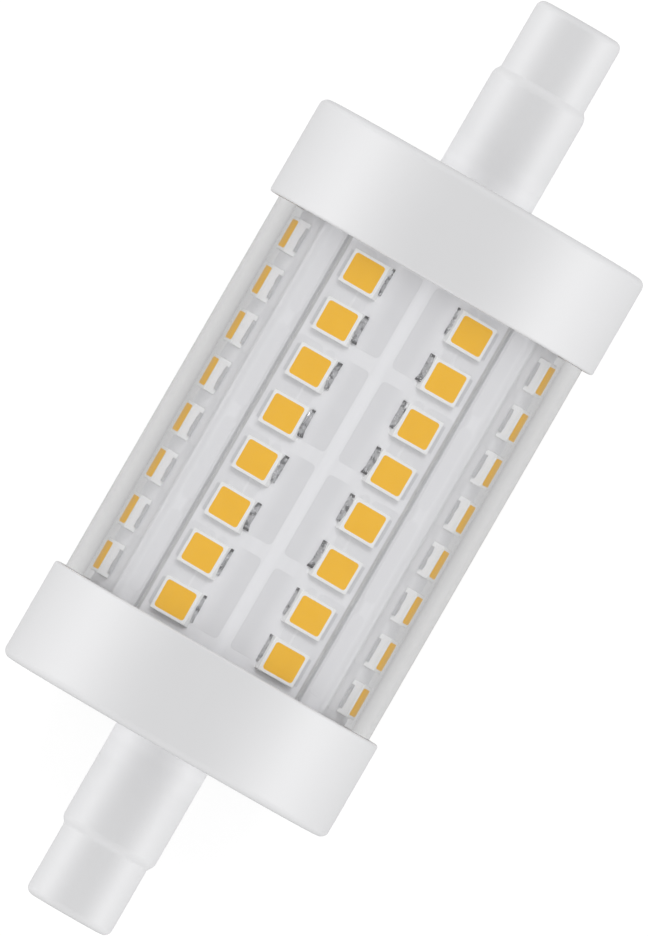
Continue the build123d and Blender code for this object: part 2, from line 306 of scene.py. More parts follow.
class Graph:
    """Node tree of a material or of the world."""

    def __init__(self, owner):
        owner.use_nodes = True
        self.owner = owner
        self.tree = owner.node_tree
        self.tree.nodes.clear()

    def node(self, kind, settings=None, sockets=None, output=0):
        """Add a node with its settings, fill or link its sockets, and give one of its outputs."""
        made = self.tree.nodes.new(kind)
        for key, value in (settings or {}).items():
            if key == "stops":
                self.fill_ramp(made.color_ramp.elements, value)
            else:
                setattr(made, key, value)
        for key, value in (sockets or {}).items():
            if isinstance(value, Signal):
                self.tree.links.new(value.socket, made.inputs[key])
            else:
                made.inputs[key].default_value = value
        return Signal(self, made.outputs[output]) if made.outputs else None

    def fill_ramp(self, elements, stops):
        """Set a ramp's elements from (place, grey) stops."""
        while len(elements) < len(stops):
            elements.new(1.0)
        for element, (place, grey) in zip(elements, stops):
            element.position = place
            element.color = (grey, grey, grey, 1.0)

    def maths(self, operation, *values):
        """Math node on some values."""
        return self.node("ShaderNodeMath", {"operation": operation}, dict(enumerate(values)))

    def place(self, axis=None):
        """Object coordinates, or one of them."""
        point = self.node("ShaderNodeTexCoord", output="Object")
        if axis is None:
            return point
        return self.node("ShaderNodeSeparateXYZ", sockets={"Vector": point}, output=axis)

    def off(self, axis, unit):
        """Distance from the lamp's middle along one axis, counted in a unit."""
        return self.maths("ABSOLUTE", self.place(axis)) * (1 / unit)

    def noise(self, size, detail=2.0, stretch=1.0):
        """Soft random pattern, its spots of one size or drawn out along the lamp."""
        place = self.node("ShaderNodeMapping", sockets={"Vector": self.place(), "Scale": (1 / stretch, 1, 1)})
        sockets = {"Vector": place, "Scale": 1 / size, "Detail": detail}
        return self.node("ShaderNodeTexNoise", sockets=sockets, output="Fac")

    def ramp(self, value, *stops):
        """Grey ramp through (place, grey) stops."""
        return self.node("ShaderNodeValToRGB", {"stops": stops}, {"Fac": value})

    def mix(self, share, first, second):
        """Colour between two colours."""
        sockets = {0: share, 6: colour_value(first), 7: colour_value(second)}
        return self.node("ShaderNodeMix", {"data_type": "RGBA"}, sockets, output=2)

    def vary(self, share, tint, dark, pale):
        """Colour between two tones of one tint."""
        return self.mix(share, shade(tint, dark), shade(tint, pale))

    def bump(self, height, distance, strength=1.0):
        """Normal that is tilted by a height pattern."""
        sockets = {"Height": height, "Distance": distance, "Strength": strength}
        return self.node("ShaderNodeBump", sockets=sockets)

    def principled(self, **sockets):
        """Surface shader, with its sockets named in plain words."""
        named = {key.replace("_", " ").title().replace("Ior", "IOR"): value for key, value in sockets.items()}
        return self.node("ShaderNodeBsdfPrincipled", sockets=named)

    def for_rays(self, ray, shown, seen):
        """Shader that gives way to another one for one kind of ray."""
        share = self.node("ShaderNodeLightPath", output=ray)
        return self.node("ShaderNodeMixShader", sockets={0: share, 1: shown, 2: seen})

    def surface(self, shader, kind="Material"):
        """Make a shader the owner's surface, and give the owner."""
        self.node(f"ShaderNodeOutput{kind}", sockets={"Surface": shader})
        return self.owner

    def finish(self, **sockets):
        """Material with a plain surface of these sockets."""
        return self.surface(self.principled(**sockets))


def colour_value(value):
    """A link as it is, or a colour with its fourth number."""
    return value if isinstance(value, Signal) else (*value, 1.0)


def shade(tint, factor):
    """A colour made lighter or darker."""
    return tuple(min(part * factor, 1.0) for part in tint)


def new_look(name):
    """Node tree of a new material."""
    return Graph(bpy.data.materials.new(name))


def cap_plastic(tint, wall):
    """White moulding with a faint grain and slow changes of gloss, and painted light that makes the necks' feet
    paler, for the light the end walls throw back onto them.
    """
    look = new_look("cap_plastic")
    cloud = look.noise(7 * MM)
    grain = look.noise(0.16 * MM, detail=3.0)
    fade = 3 * MM
    from_wall = look.off("X", fade) - wall / fade
    # Painted light: paler towards each end wall and towards the necks' sides, standing for light thrown back from
    # the end walls
    foot = look.ramp(from_wall, (0.0, 0.0), (0.02, 1.0), (0.28, 0.72), (0.48, 0.32), (0.68, 0.11), (0.95, 0.0))
    bounce_flank = 0.48 + look.off("Y", 6 * MM)
    white = look.vary(cloud, tint, 0.985, 1.015)
    return look.finish(
        base_color=look.mix(foot * bounce_flank, white, shade(tint, 1.32)),
        roughness=0.50 + 0.08 * cloud,
        normal=look.bump(grain, 0.002 * MM),
    )


def clear_plastic(tint):
    """Clear tube with a trace of haze, which light reaches the boards through."""
    look = new_look("clear_plastic")
    haze = look.noise(9 * MM)
    clear = colour_value(tint)
    body = look.principled(base_color=clear, roughness=0.008 + 0.02 * haze, transmission_weight=1.0, ior=1.585)
    passing = look.node("ShaderNodeBsdfTransparent", sockets={"Color": clear})
    for ray in ("Is Shadow Ray", "Is Diffuse Ray"):
        body = look.for_rays(ray, body, passing)
    return look.surface(body)


def painted_fold_shade(look):
    """Share of painted shade in the mask where the board bends down to the side faces."""
    return 0.7 * look.ramp(look.off("Y", 10 * MM), (0.80, 0.0), (0.85, 1.0), (0.935, 1.0), (0.975, 0.0))


def board_mask(tint):
    """White mask with faint streaks and an orange peel, and painted shade beside the seams and over the folds."""
    look = new_look("board_mask")
    cloud = look.noise(2.2 * MM)
    streak = look.noise(0.4 * MM, stretch=60.0)
    peel = look.noise(0.35 * MM)
    # Painted shadow beside the seams, where the upper boards' edges shade the side boards
    seam = look.ramp(look.off("Y", 10 * MM), (0.66, 0.0), (0.68, 0.5), (0.715, 0.5), (0.745, 0.0))
    white = look.vary(0.3 * cloud + 0.7 * streak, tint, 0.95, 1.05)
    return look.finish(
        base_color=look.mix(seam + painted_fold_shade(look), white, shade(tint, PAINTED_SHADE_TONE)),
        roughness=0.38 + 0.16 * cloud,
        normal=look.bump(peel, 0.008 * MM),
    )


def masked_copper(tint, mask):
    """White mask over copper, darker beside the ridge and fading into the mask's white further out, with painted
    shade over the folds.
    """
    look = new_look("masked_copper")
    mottle = look.noise(0.9 * MM, detail=3.0)
    peel = look.noise(0.3 * MM)
    covers = ((0.15, 0.0), (0.25, 1.0), (0.28, 1.0), (0.33, 0.5), (0.60, 0.5), (0.80, 0.7))
    copper = look.vary(mottle, tint, 0.98, 1.02)
    covered = look.mix(look.ramp(look.off("Y", 10 * MM), *covers), copper, mask)
    return look.finish(
        # Painted shade over the folds, as on the boards' mask
        base_color=look.mix(painted_fold_shade(look), covered, shade(mask, PAINTED_SHADE_TONE)),
        roughness=0.36 + 0.16 * mottle,
        normal=look.bump(peel, 0.008 * MM),
    )


def phosphor_filling(tint):
    """Yellow silicone with fine phosphor grains and a slow change of depth."""
    look = new_look("phosphor_filling")
    grains = look.noise(0.07 * MM, detail=4.0)
    depth = look.noise(1.6 * MM)
    deep = (tint[0] * 0.95, tint[1] * 0.92, tint[2] * 0.85)
    pale = (tint[0], tint[1] * 1.2, tint[2] * 3.0)
    base = look.mix(depth, deep, shade(tint, 1.03))
    return look.finish(
        base_color=look.mix(0.16 * grains, base, pale),
        roughness=0.45 + 0.15 * grains,
        specular_ior_level=0.0,
        normal=look.bump(grains, 0.003 * MM),
    )


def tinned_solder(tint):
    """Frosted, lumpy solder with dark patches, dark ends and bright flecks that are painted glints, and plain pale
    grey far from the ridge, where the outer joints stand for painted shadow as well as solder.
    """
    look = new_look("tinned_solder")
    frost = look.noise(0.2 * MM, detail=3.0)
    # Painted glints: bright flecks that are near white and hardly metallic
    painted_glints = look.ramp(look.noise(0.13 * MM, detail=1.0), (0.62, 0.0), (0.70, 1.0))
    flux = look.ramp(look.noise(0.45 * MM), (0.36, 1.0), (0.50, 0.0))
    # Beyond 5 mm from the lamp's middle plane lie the outer joints, flat pale grey plates that stand for the soft
    # shadow beside the LEDs' outer edges as well as their solder: painted shadow
    plain = look.ramp(look.off("Y", 10 * MM), (0.48, 0.0), (0.52, 1.0))
    tip = look.node("ShaderNodeAttribute", {"attribute_name": "tip"}, output="Fac")
    base = look.vary(frost, tint, 0.75, 1.25)
    stained = look.mix(flux, base, shade(tint, 0.4))
    tipped = look.mix(look.ramp(tip, (0.5, 0.0), (0.75, 1.0)), stained, shade(tint, 0.25))
    specked = look.mix(painted_glints, tipped, (0.9, 0.9, 0.9))
    return look.finish(
        base_color=look.mix(plain, specked, shade(tint, 1.3)),
        roughness=0.25 + 0.25 * frost,
        metallic=(0.55 - 0.45 * painted_glints) * (1 - plain),
        normal=look.bump(frost, 0.05 * MM),
    )


def plated_contact(tint):
    """Plated button with fine rings from turning and a duller worn middle."""
    look = new_look("plated_contact")
    across = look.place("Y")
    up = look.place("Z")
    out = look.maths("SQRT", across * across + up * up)
    rings = look.maths("SINE", out * (2 * pi / (0.08 * MM)))
    wear = look.noise(0.6 * MM)
    return look.finish(
        base_color=look.vary(wear, tint, 0.86, 1.06),
        roughness=0.20 + 0.20 * wear,
        metallic=1.0,
        normal=look.bump(rings, 0.004 * MM, 0.5),
    )


def mottled(name, tint, size, rough, metal=0.0, relief=0.01, tones=(0.85, 1.12), dull=0.12, detail=3.0):
    """Plain finish, mottled at one size in millimetres between two tones."""
    look = new_look(name)
    spots = look.noise(size * MM, detail)
    return look.finish(
        base_color=look.vary(spots, tint, *tones),
        roughness=rough + dull * spots,
        metallic=metal,
        normal=look.bump(spots, relief * MM),
    )


def wound_copper(tint):
    """Enamelled wire in level turns round the choke's core, darker between the turns and paler on their crests as
    painted shade and highlight.
    """
    look = new_look("wound_copper")
    turns = look.maths("SINE", look.place("Z") * (2 * pi / (0.35 * MM)))
    return look.finish(
        # Painted shade between the turns and painted highlight on their crests
        base_color=look.vary(0.5 + 0.5 * turns, tint, 0.55, 1.1),
        roughness=0.30 + 0.08 * turns,
        metallic=0.9,
        normal=look.bump(turns, 0.08 * MM),
    )


def mesh_of(bm, name):
    """Mesh of a finished shape."""
    mesh = bpy.data.meshes.new(name)
    bm.to_mesh(mesh)
    bm.free()
    return mesh


def placed(name, data):
    """New object in the scene."""
    made = bpy.data.objects.new(name, data)
    bpy.context.scene.collection.objects.link(made)
    return made


def publish(bm, name, material, replaced=(), sharp=35.0):
    """Make a mesh object of a finished shape, which rides on the lamp."""
    mesh = mesh_of(bm, name)
    mesh.shade_smooth()
    mesh.set_sharp_from_angle(angle=radians(sharp))
    mesh.materials.append(material)
    piece = placed(name, mesh)
    piece.modifiers.new("even_normals", "WEIGHTED_NORMAL").keep_sharp = True
    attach(piece, "root")
    if replaced:
        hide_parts(*replaced)


def publish_ends(shape, sizes, piece, material, node):
    """Publish a piece at the right end, and its mirror image at the left end."""
    for side, bm in (("right", shape(sizes)), ("left", mirrored(shape(sizes)))):
        publish(bm, f"{side}_{piece}", material, [f"{side}_{node}"])


def block(size, centre):
    """Box of one size round a centre."""
    bm = bmesh.new()
    bmesh.ops.create_cube(bm, size=1)
    bmesh.ops.scale(bm, vec=size, verts=bm.verts)
    bmesh.ops.translate(bm, vec=centre, verts=bm.verts)
    return bm


def soften(bm, edges, width, segments):
    """Round some edges of a shape."""
    bmesh.ops.bevel(bm, geom=edges, offset=width, segments=segments, profile=0.5, affect="EDGES", material=-1)


def spun(outline, steps, closed=True):
    """Shell made by one turn of (along, out) points about the lamp's axis."""
    bm = bmesh.new()
    points = [bm.verts.new((along, 0, out)) for along, out in outline]
    pairs = list(zip(points, points[1:]))
    if closed:
        pairs.append((points[-1], points[0]))
    edges = [bm.edges.new(pair) for pair in pairs]
    bmesh.ops.spin(bm, geom=points + edges, axis=(1, 0, 0), angle=2 * pi, steps=steps, use_merge=True)
    bmesh.ops.remove_doubles(bm, verts=bm.verts, dist=WELD)
    bmesh.ops.recalc_face_normals(bm, faces=bm.faces)
    return bm


def round_ring(bm, along, out, width, segments):
    """Round the circular edge of a spun shell at one place."""
    ring = [
        edge for edge in bm.edges
        if all(abs(v.co.x - along) < TOUCH and abs(hypot(v.co.y, v.co.z) - out) < TOUCH for v in edge.verts)
    ]
    if not ring:
        raise RuntimeError(f"no round edge at {along}, {out}")
    soften(bm, ring, width, segments)


def mirrored(bm):
    """The same shape at the other end of the lamp."""
    bmesh.ops.scale(bm, vec=(-1, 1, 1), verts=bm.verts)
    bmesh.ops.reverse_faces(bm, faces=bm.faces)
    return bm


def without_box(bm, low, high):
    """A shape with a box cut out of it."""
    shapes = (bm, block(high - low, (low + high) / 2))
    body, cutter = [placed("rough", mesh_of(shape, "rough")) for shape in shapes]
    cut = body.modifiers.new("slot", "BOOLEAN")
    cut.operation = "DIFFERENCE"
    cut.object = cutter
    finished = bpy.data.meshes.new_from_object(body.evaluated_get(bpy.context.evaluated_depsgraph_get()))
    result = bmesh.new()
    result.from_mesh(finished)
    for scrap in (body, cutter):
        bpy.data.objects.remove(scrap)
    return result


def face_angles(boards):
    """Turn of each board face's normal from +Z towards +Y."""
    upper, side = boards.upper_angle, boards.side_angle
    return {
        "upper_front": -upper,
        "upper_rear": upper,
        "rear_upper": side,
        "rear_lower": pi - side,
        "lower_rear": pi - upper,
        "lower_front": pi + upper,
        "front_lower": pi + side,
        "front_upper": 2 * pi - side,
    }


def face_seat(angle, height, along=0.0, across=0.0):
    """Place on a face: X along the lamp, Y across the face, Z outwards."""
    return Matrix.Rotation(-angle, 4, "X") @ Matrix.Translation((along, across, height))


def has_seam(face):
    """Whether a face carries a seam, as the upper and lower ones do."""
    return face.startswith(("upper", "lower"))


def inner_side(face):
    """Direction across a face that leads to its ridge, or from a side face to the seam next to it."""
    return -1 if face in ("upper_rear", "rear_upper", "lower_front", "front_lower") else 1


def led_rows(face, leds):
    """Places along the lamp of a column's LEDs."""
    pitch = leds.upper_pitch if has_seam(face) else leds.side_pitch
    return [(row - (leds.rows - 1) / 2) * pitch for row in range(leds.rows)]


def stamped(stamps):
    """One shape that holds a copy of a template mesh at each (template, seat)."""
    bm = bmesh.new()
    for template, seat in stamps:
        first = len(bm.verts)
        bm.from_mesh(template)
        bm.verts.ensure_lookup_table()
        bmesh.ops.transform(bm, matrix=seat, verts=bm.verts[first:])
    return bm


def upright_edges(bm):
    """Edges that stand up from the board."""
    return [edge for edge in bm.edges if abs(edge.verts[0].co.z - edge.verts[1].co.z) > WELD]


def top_face(bm):
    """The largest of the faces that lie highest."""
    return max(bm.faces, key=lambda face: (round(face.calc_center_median().z, 9), face.calc_area()))


def housing_template(leds):
    """White LED housing with rounded edges and a window with rounded corners."""
    bm = block((leds.length, leds.width, leds.height), (0, 0, leds.height / 2))
    soften(bm, upright_edges(bm) + list(top_face(bm).edges), leds.edge_round, 2)
    window = top_face(bm)
    bmesh.ops.inset_region(bm, faces=[window], thickness=leds.rim - leds.edge_round, use_even_offset=True)
    sunk = bmesh.ops.extrude_discrete_faces(bm, faces=[window])["faces"]
    bmesh.ops.translate(bm, vec=(0, 0, -leds.pocket), verts=sunk[0].verts)
    inside = (leds.length - leds.rim) / 2
    soften(bm, [edge for edge in upright_edges(bm) if abs(edge.verts[0].co.x) < inside], leds.window_round, 3)
    bmesh.ops.recalc_face_normals(bm, faces=bm.faces)
    return mesh_of(bm, "led_housing_template")


def phosphor_template(leds):
    """Yellow filling of the window, level with the rim."""
    trim = 2 * leds.rim
    size = (leds.length - trim, leds.width - trim, leds.pocket)
    bm = block(size, (0, 0, leds.height - leds.pocket / 2))
    soften(bm, upright_edges(bm), leds.window_round, 3)
    return mesh_of(bm, "led_phosphor_template")


def solder_template(leds, size, taper, low_end, footed, chance):
    """Lumpy bar of solder that falls away from an LED, with a foot at one end or none."""
    along, reach, height = size
    bm = block(size, (0, reach / 2, height / 2))
    bmesh.ops.subdivide_edges(bm, edges=bm.edges, cuts=3, use_grid_fill=True)
    tip = bm.verts.layers.float.new("tip")
    for vert in bm.verts:
        outward = vert.co.y / reach
        lift = vert.co.z / height
        endward = vert.co.x * low_end / along * 2
        fall = (1 - leds.solder_fall * outward * outward) * (1 - taper * endward ** 6)
        vert.co.z *= fall * (1 + lift * chance.uniform(-leds.solder_lumps, leds.solder_lumps))
        vert.co.y *= 1 + outward * (1 - lift) * chance.uniform(-leds.solder_notch, leds.solder_spread)
        at_foot = footed and endward > leds.solder_tip
        if at_foot:
            vert.co.y *= leds.solder_foot
        vert[tip] = float(at_foot or endward < -leds.solder_tip)
    return mesh_of(bm, "solder_template")


def land_block(bm, seat, along, across, boards):
    """Copper land: a thin plate on a face, between two places each way."""
    size = (along[1] - along[0], across[1] - across[0], boards.land_height)
    plate = block(size, (sum(along) / 2, sum(across) / 2, boards.land_height / 2))
    soften(plate, upright_edges(plate), min(boards.land_round, min(size[:2]) * 0.4), 3)
    soften(plate, list(top_face(plate).edges), boards.land_edge_round, 2)
    bmesh.ops.transform(plate, matrix=seat, verts=plate.verts)
    scrap = mesh_of(plate, "land")
    bm.from_mesh(scrap)
    bpy.data.meshes.remove(scrap)


class LEDBULB_OT_end_caps(bpy.types.Operator):
    """Spin the two white end caps with their rounded skirts, necks and tips"""

    bl_idname = "led_bulb.end_caps"
    bl_label = "End Caps"

    def cap(self, sizes):
        """Right end cap."""
        wall_outside = skirt_rim + sizes.skirt_length
        wall_inside = wall_outside - sizes.end_wall
        neck_end = wall_outside + sizes.neck_length
        tip_base = neck_end + sizes.shoulder_length
        pocket_floor = contact_high.x - sizes.contact_head
        floor_inside = pocket_floor - sizes.tip_floor
        spigot_end = wall_inside - sizes.spigot_length
        neck_radius = tip_radius + sizes.neck_step
        neck_bore = neck_radius - sizes.neck_wall
        bore = cap_radius - sizes.skirt_wall
        pocket = recess_radius - sizes.pocket_step
        hole = sizes.shank_radius + sizes.shank_clearance
        spigot_bore = sizes.spigot_radius - sizes.spigot_wall
        bm = spun([
            (skirt_rim, bore), (skirt_rim, cap_radius),
            (wall_outside, cap_radius), (wall_outside, neck_radius),
            (neck_end, neck_radius), (tip_base, tip_radius),
            (lamp_end, tip_radius), (lamp_end, recess_radius),
            (recess_floor, recess_radius), (recess_floor, pocket),
            (pocket_floor, pocket), (pocket_floor, hole),
            (floor_inside, hole), (floor_inside, neck_bore),
            (wall_inside, neck_bore), (wall_inside, spigot_bore),
            (spigot_end, spigot_bore), (spigot_end, sizes.spigot_radius),
            (wall_inside, sizes.spigot_radius), (wall_inside, bore),
        ], sizes.steps)
        round_ring(bm, skirt_rim, cap_radius, sizes.skirt_rim_round, 4)
        round_ring(bm, skirt_rim, bore, sizes.skirt_rim_round / 2, 2)
        round_ring(bm, wall_outside, cap_radius, sizes.skirt_end_round, 6)
        round_ring(bm, wall_outside, neck_radius, sizes.neck_root_round, 3)
        round_ring(bm, neck_end, neck_radius, sizes.shoulder_round, 5)
        round_ring(bm, tip_base, tip_radius, sizes.shoulder_foot_round, 3)
        round_ring(bm, lamp_end, tip_radius, sizes.tip_round, 6)
        round_ring(bm, lamp_end, recess_radius, sizes.recess_round, 3)
        low = Vector((spigot_end - sizes.spigot_wall, -sizes.spigot_radius, driver_low.z))
        high = Vector((wall_inside, sizes.spigot_radius, driver_high.z + sizes.slot_clearance))
        return without_box(bm, low, high)

    def execute(self, context):
        sizes = context.scene.led_bulb_caps
        material = cap_plastic(context.scene.led_bulb_colours.cap, skirt_rim + sizes.skirt_length)
        publish_ends(self.cap, sizes, "cap_moulding", material, "end_cap")
        return {"FINISHED"}


class LEDBULB_OT_end_contacts(bpy.types.Operator):
    """Spin the two plated contacts that lie in the recesses of the tips"""

    bl_idname = "led_bulb.end_contacts"
    bl_label = "End Contacts"

    def contact(self, sizes):
        """Right contact."""
        face = contact_high.x
        head = contact_high.z
        pocket_floor = face - sizes.contact_head
        floor_inside = pocket_floor - sizes.tip_floor
        tail = floor_inside - sizes.collar_thickness
        worn = face - sizes.contact_wear
        bm = spun([
            (tail, 0), (tail, sizes.collar_radius),
            (floor_inside, sizes.collar_radius), (floor_inside, sizes.shank_radius),
            (pocket_floor, sizes.shank_radius), (pocket_floor, head),
            (face, head), (face, sizes.contact_dimple),
            (worn, sizes.dimple_floor), (worn, 0),
        ], sizes.steps // 2, closed=False)
        round_ring(bm, face, head, sizes.contact_round, 4)
        round_ring(bm, tail, sizes.collar_radius, sizes.collar_round, 3)
        return bm

    def execute(self, context):
        material = plated_contact(context.scene.led_bulb_colours.contact)
        sizes = context.scene.led_bulb_caps
        publish_ends(self.contact, sizes, "contact_button", material, "contact")
        return {"FINISHED"}


class LEDBULB_OT_clear_tube(bpy.types.Operator):
    """Spin the clear tube between the caps"""

    bl_idname = "led_bulb.clear_tube"
    bl_label = "Clear Tube"

    def execute(self, context):
        sizes = context.scene.led_bulb_tube
        outside = tube_high.z
        bore = outside - sizes.wall
        ends = [(tube_low.x, bore), (tube_low.x, outside), (tube_high.x, outside), (tube_high.x, bore)]
        bm = spun(ends, sizes.steps)
        for along, out in ends:
            round_ring(bm, along, out, sizes.end_round, 2)
        material = clear_plastic(context.scene.led_bulb_colours.tube)
        publish(bm, "clear_tube_shell", material, ["clear_tube"])
        return {"FINISHED"}


class LEDBULB_OT_led_boards(bpy.types.Operator):
    """Fold the four white LED boards round the former"""

    bl_idname = "led_bulb.led_boards"
    bl_label = "LED Boards"

    def line(self, angles, start, end, height):
        """Points of a folded line over several faces, and half the turn at each fold."""
        seats = [(face_seat(angles[0], height, 0, start), 0)]
        for angle, following in zip(angles, angles[1:]):
            half = (following - angle) / 2
            seats.append((face_seat(angle + half, height / cos(half)), half))
        seats.append((face_seat(angles[-1], height, 0, end), 0))
        return [(seat.translation.yz, half) for seat, half in seats]

    def long_edge(self, bm, point):
        """The edge that runs along the lamp through one point of the section."""
        return [edge for edge in bm.edges if all((vert.co.yz - point).length < TOUCH for vert in edge.verts)]

    def board(self, angles, start, end, boards):
        """One board: a thin section over its faces, drawn along the lamp."""
        outside = self.line(angles, start, end, boards.top)
        inside = self.line(angles, start, end, boards.top - boards.thickness)
        bm = bmesh.new()
        section = [bm.verts.new((board_low.x, *point)) for point, _ in outside + inside[::-1]]
        grown = bmesh.ops.extrude_face_region(bm, geom=[bm.faces.new(section)])["geom"]
        moved = [item for item in grown if isinstance(item, bmesh.types.BMVert)]
        bmesh.ops.translate(bm, vec=(board_high.x - board_low.x, 0, 0), verts=moved)
        bmesh.ops.recalc_face_normals(bm, faces=bm.faces)
        for points, radius in ((outside, boards.bend), (inside, boards.bend - boards.thickness)):
            for point, half in points[1:-1]:
                soften(bm, self.long_edge(bm, point), radius * tan(half), 6)
        if len(angles) > 2:
            for point, _ in (outside[0], outside[-1]):
                soften(bm, self.long_edge(bm, point), boards.seam_edge_round, 3)
        return bm

    def execute(self, context):
        boards = context.scene.led_bulb_boards
        material = board_mask(context.scene.led_bulb_colours.mask)
        angles = face_angles(boards)
        near = boards.seam_offset
        far = near + boards.seam_gap
        angles["upper_front_again"] = angles["upper_front"] + 2 * pi
        spans = {
            "upper": (("upper_front", "upper_rear"), -near, near),
            "rear": (("upper_rear", "rear_upper", "rear_lower", "lower_rear"), far, -far),
            "lower": (("lower_rear", "lower_front"), -near, near),
            "front": (("lower_front", "front_lower", "front_upper", "upper_front_again"), far, -far),
        }
        for side, (faces, start, end) in spans.items():
            bm = self.board([angles[face] for face in faces], start, end, boards)
            publish(bm, f"{side}_board_sheet", material, [f"{side}_led_board"], sharp=30)
        return {"FINISHED"}


class LEDBULB_OT_copper_lands(bpy.types.Operator):
    """Lay the copper lands that show through the boards' white mask"""

    bl_idname = "led_bulb.copper_lands"
    bl_label = "Copper Lands"

    def lands(self, face, angle, leds, boards):
        """Lands of a face: a set for each pair of LEDs beside a seam, and for each LED on a side face."""
        middles = led_rows(face, leds)
        if has_seam(face):
            middles = [along + leds.upper_pitch / 2 + boards.land_shift for along in middles[::2]]
            half = leds.upper_pitch - boards.land_gap / 2
            strips = SEAM_FACE_LANDS
        else:
            half = (leds.side_pitch - boards.side_land_gap) / 2
            strips = SIDE_FACE_LANDS
        bm = bmesh.new()
        for middle in middles:
            for strip in strips:
                across = sorted(inner_side(face) * place * MM for place in strip)
                land_block(bm, face_seat(angle, boards.top), (middle - half, middle + half), across, boards)
        return bm

    def execute(self, context):
        scene = context.scene
        boards = scene.led_bulb_boards
        material = masked_copper(scene.led_bulb_colours.land, scene.led_bulb_colours.mask)
        for face, angle in face_angles(boards).items():
            bm = self.lands(face, angle, scene.led_bulb_leds, boards)
            publish(bm, f"{face}_copper_lands", material)
        return {"FINISHED"}


class LEDBULB_OT_leds(bpy.types.Operator):
    """Set the eight columns of LEDs: housings, phosphor fillings and solder joints"""

    bl_idname = "led_bulb.leds"
    bl_label = "LEDs"

    def seat(self, angle, height, along, leds, chance):
        """Place of an LED, a little astray."""
        aside = (along + chance.uniform(-1, 1) * leds.stray, chance.uniform(-1, 1) * leds.stray)
        astray = Matrix.Rotation(chance.uniform(-1, 1) * leds.stray_turn, 4, "Z")
        return face_seat(angle, height, *aside) @ astray

    def joints(self, face, seats, leds, chance):
        """Solder joints on both sides of a column's LEDs, slim at its ends, and low and wide on its outer side,
        where they also stand for the soft shadow beside the LEDs as painted shadow.
        """
        slim_rows = (0, 1, leds.rows - 1)
        footed_rows = range(2, leds.rows - 1, 2)
        shift = Matrix.Translation((leds.solder_shift, 0, 0))
        stamps = []
        for row, seat in enumerate(seats):
            for half_turn, low_end in ((0, -1), (pi, 1)):
                inner = has_seam(face) and low_end * inner_side(face) < 0
                if not has_seam(face):
                    size = (leds.solder_short, leds.solder_slim, leds.solder_side)
                elif not inner:
                    size = (leds.solder_length, leds.solder_outer, leds.solder_thin)
                elif row in slim_rows:
                    size = (leds.solder_length, leds.solder_slim, leds.solder_low)
                else:
                    size = (leds.solder_length, leds.solder_reach, leds.solder_height)
                taper = leds.solder_taper if inner else leds.solder_blunt
                joint = solder_template(leds, size, taper, low_end, inner and row in footed_rows, chance)
                beside = Matrix.Rotation(half_turn, 4, "Z") @ Matrix.Translation((0, leds.width / 2, 0))
                stamps.append((joint, seat @ shift @ beside if inner else seat @ beside))
        return stamped(stamps)

    def execute(self, context):
        scene = context.scene
        boards = scene.led_bulb_boards
        leds = scene.led_bulb_leds
        tints = scene.led_bulb_colours
        satin = {"relief": 0.006, "tones": (0.97, 1.03), "dull": 0.14, "detail": 2.0}
        moulding = mottled("led_moulding", tints.housing, 0.5, 0.42, **satin)
        filling = phosphor_filling(tints.phosphor)
        solder = tinned_solder(tints.solder)
        side_solder = mottled("side_solder", tints.side_solder, 0.3, 0.5, metal=0.3, relief=0.005)
        housing = housing_template(leds)
        phosphor = phosphor_template(leds)
        chance = Random(SEED)
        for face, angle in face_angles(boards).items():
            seats = [self.seat(angle, boards.top, along, leds, chance) for along in led_rows(face, leds)]
            metal = solder if has_seam(face) else side_solder
            shapes = {
                "housings": (stamped([(housing, seat) for seat in seats]), moulding, "led_housing"),
                "phosphors": (stamped([(phosphor, seat) for seat in seats]), filling, "led_phosphor"),
                "solder_joints": (self.joints(face, seats, leds, chance), metal, "solder_metal"),
            }
            for kind, (bm, material, slot) in shapes.items():
                publish(bm, f"{face}_{kind}", material, [f"{face}_led_{kind}"])
        return {"FINISHED"}


class LEDBULB_OT_inner_parts(bpy.types.Operator):
    """Give the former, the driver, the links and the leads their finishes"""

    bl_idname = "led_bulb.inner_parts"
    bl_label = "Inner Parts"

    def execute(self, context):
        plain = {
            "former_plastic": ((0.66, 0.66, 0.65), 0.8, 0.45),
            "driver_laminate": ((0.06, 0.26, 0.12), 0.5, 0.35),
            "dark_moulding": ((0.028, 0.028, 0.03), 0.15, 0.5),
            "capacitor_sleeve": ((0.05, 0.05, 0.07), 1.2, 0.28),
            "fuse_ceramic": ((0.72, 0.70, 0.64), 0.4, 0.5),
            "ferrite": ((0.07, 0.07, 0.075), 0.12, 0.55, 0.0, 0.02),
            "lead_insulation": ((0.78, 0.78, 0.76), 0.6, 0.45),
        }
        finishes = {slot: mottled(slot, *values) for slot, values in plain.items()}
        finishes["solder_metal"] = mottled("link_metal", (0.55, 0.55, 0.54), 0.2, 0.25, metal=1.0, relief=0.02)
        finishes["copper_wire"] = wound_copper((0.72, 0.34, 0.16))
        slots = {part["node"]: part["material_slot"] for part in frame["record"]["subparts"]}
        for name, node in frame["nodes"].items():
            finish = finishes.get(slots[name])
            if finish is None:
                continue
            if not node.material_slots:
                node.data.materials.append(finish)
            for place in node.material_slots:
                place.material = finish
        return {"FINISHED"}


